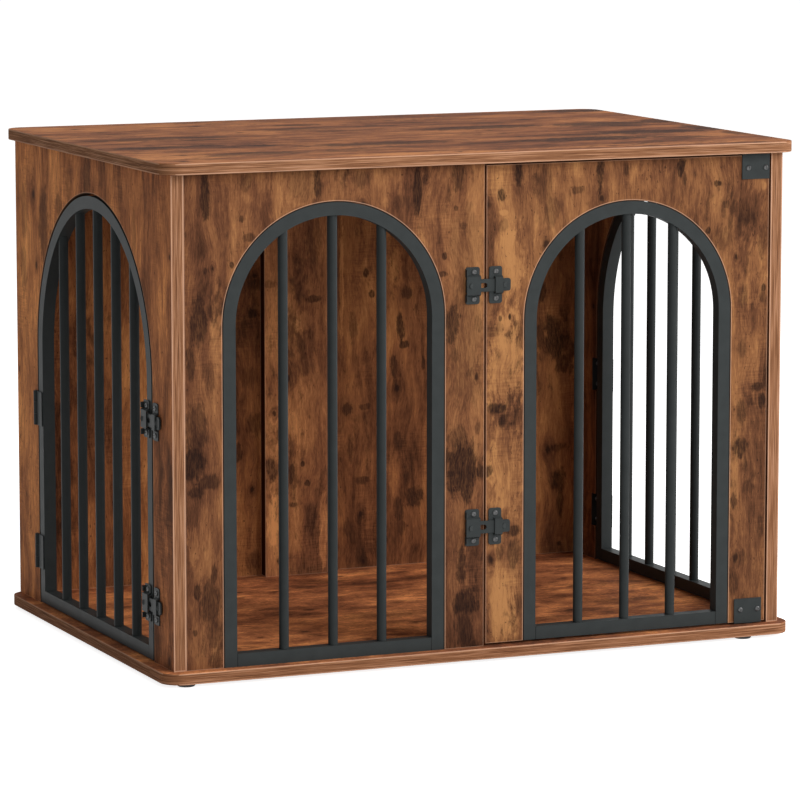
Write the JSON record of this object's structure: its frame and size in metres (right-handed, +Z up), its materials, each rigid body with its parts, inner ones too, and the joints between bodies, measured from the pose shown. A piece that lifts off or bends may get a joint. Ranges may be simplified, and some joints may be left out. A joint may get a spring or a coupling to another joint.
{
  "type": "dog crate end table",
  "caption": "Dog crate that serves as an end table: wood-effect boards with arched openings, steel bars, a pivoting front door, hinged side doors and slide bolts.",
  "frame": {"origin": "middle of the top board's outline, at floor level under the glides", "axes": "+X to the right along the front, +Y from the front to the back, +Z up"},
  "size_m": [0.85, 0.5964, 0.633],
  "materials": {
    "top_laminate": "satin rustic brown wood-effect laminate",
    "base_laminate": "satin rustic brown wood-effect laminate",
    "board_laminate": "satin rustic brown wood-effect laminate",
    "beech": "plain",
    "black_steel": "satin black powder coat",
    "black_screws": "black zinc",
    "zinc": "bright zinc",
    "black_plastic": "moulded"
  },
  "bodies": {
    "cabinet": {"top_panel": "top_laminate", "base_panel": "base_laminate", "left_side_panel": "board_laminate", "right_side_panel": "board_laminate", "front_panel": "board_laminate", "back_panel_left": "board_laminate", "back_panel_right": "board_laminate", "back_post": "board_laminate", "front_grille_frame": "black_steel", "front_grille_rail": "black_steel", "front_grille_bars": "black_steel", "foot_front_left": "black_plastic", "foot_front_right": "black_plastic", "foot_back_left": "black_plastic", "foot_back_right": "black_plastic", "top_pivot_bush": "black_plastic", "bottom_pivot_bush": "black_plastic", "front_keeper_upper": "black_steel", "front_keeper_lower": "black_steel", "left_latch_guide_upper": "black_steel", "left_latch_guide_lower": "black_steel", "right_latch_guide_upper": "black_steel", "right_latch_guide_lower": "black_steel", "left_hinge_leaves": "black_steel", "right_hinge_leaves": "black_steel", "cabinet_screws": "black_screws", "cam_bolts": "zinc", "cam_locks": "zinc", "dowels": "beech", "base_screws": "zinc", "post_screws": "zinc"},
    "front_door": {"front_door_panel": "board_laminate", "front_door_frame": "black_steel", "front_door_rail": "black_steel", "front_door_bars": "black_steel", "top_pivot_bracket": "black_steel", "bottom_pivot_bracket": "black_steel", "front_latch_guide_upper": "black_steel", "front_latch_guide_lower": "black_steel", "front_door_screws": "black_screws"},
    "left_door": {"left_door_frame": "black_steel", "left_door_rail": "black_steel", "left_door_bars": "black_steel", "left_door_hinge_leaves": "black_steel", "left_keeper_upper": "black_steel", "left_keeper_lower": "black_steel", "left_door_screws": "black_screws"},
    "right_door": {"right_door_frame": "black_steel", "right_door_rail": "black_steel", "right_door_bars": "black_steel", "right_door_hinge_leaves": "black_steel", "right_keeper_upper": "black_steel", "right_keeper_lower": "black_steel", "right_door_screws": "black_screws"},
    "front_bolt_upper": {"front_bolt_upper": "black_steel"},
    "front_bolt_lower": {"front_bolt_lower": "black_steel"},
    "left_bolt_upper": {"left_bolt_upper": "black_steel"},
    "left_bolt_lower": {"left_bolt_lower": "black_steel"},
    "right_bolt_upper": {"right_bolt_upper": "black_steel"},
    "right_bolt_lower": {"right_bolt_lower": "black_steel"}
  },
  "joints": [
    {"name": "front_door_swing", "type": "hinge", "parent": "cabinet", "child": "front_door", "pos_m": [0.37, -0.27575, 0.319], "axis": [0, 0, 1], "range_deg": [0, 130]},
    {"name": "left_door_swing", "type": "hinge", "parent": "cabinet", "child": "left_door", "pos_m": [-0.411, 0.21825, 0.181], "axis": [0, 0, -1], "range_deg": [0, 170]},
    {"name": "right_door_swing", "type": "hinge", "parent": "cabinet", "child": "right_door", "pos_m": [0.411, 0.21825, 0.181], "axis": [0, 0, 1], "range_deg": [0, 170]},
    {"name": "front_bolt_upper_slide", "type": "slide", "parent": "front_door", "child": "front_bolt_upper", "axis": [1, 0, 0], "range_m": [0, 0.03]},
    {"name": "front_bolt_lower_slide", "type": "slide", "parent": "front_door", "child": "front_bolt_lower", "axis": [1, 0, 0], "range_m": [0, 0.03]},
    {"name": "left_bolt_upper_slide", "type": "slide", "parent": "cabinet", "child": "left_bolt_upper", "axis": [0, -1, 0], "range_m": [0, 0.03]},
    {"name": "left_bolt_lower_slide", "type": "slide", "parent": "cabinet", "child": "left_bolt_lower", "axis": [0, -1, 0], "range_m": [0, 0.03]},
    {"name": "right_bolt_upper_slide", "type": "slide", "parent": "cabinet", "child": "right_bolt_upper", "axis": [0, -1, 0], "range_m": [0, 0.03]},
    {"name": "right_bolt_lower_slide", "type": "slide", "parent": "cabinet", "child": "right_bolt_lower", "axis": [0, -1, 0], "range_m": [0, 0.03]}
  ]
}
